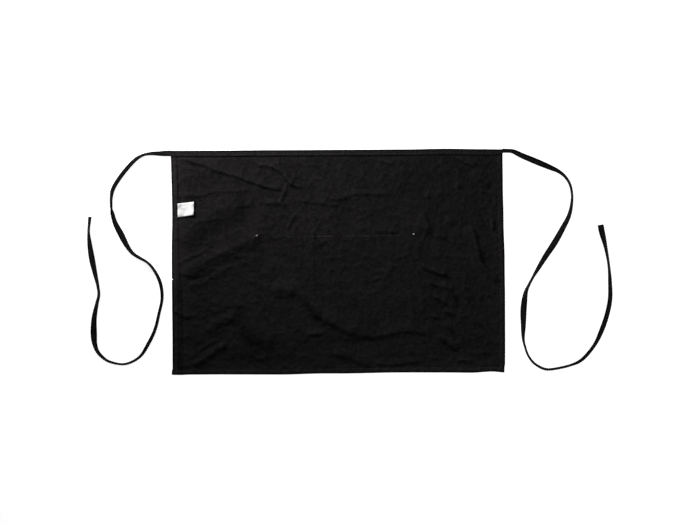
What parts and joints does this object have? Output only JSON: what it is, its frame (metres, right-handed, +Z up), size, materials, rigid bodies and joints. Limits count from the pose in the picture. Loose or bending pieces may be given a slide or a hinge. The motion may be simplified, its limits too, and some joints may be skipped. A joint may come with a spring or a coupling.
{
  "type": "waist apron",
  "caption": "Black cotton waist apron lying flat wrong side up, with hemmed edges, a bound top edge, loose tape ties, a front patch pocket and a blank care label.",
  "frame": {"origin": "on the surface the apron lies on, under the middle of the apron's own box without its ties", "axes": "+X along the waistband, +Y across the panel towards the waistband, +Z up off the surface, out of the wrong side of the cloth"},
  "size_m": [1.1851, 0.5127, 0.0154],
  "materials": {
    "black_twill": "washed cotton twill, matt",
    "black_tape": "folded cotton tape, matt",
    "white_label": "woven satin, blank"
  },
  "bodies": {
    "root": {"body_panel": "black_twill", "front_pocket": "black_twill", "waist_band": "black_tape", "tie_left": "black_tape", "tie_right": "black_tape", "care_label": "white_label"}
  },
  "joints": []
}
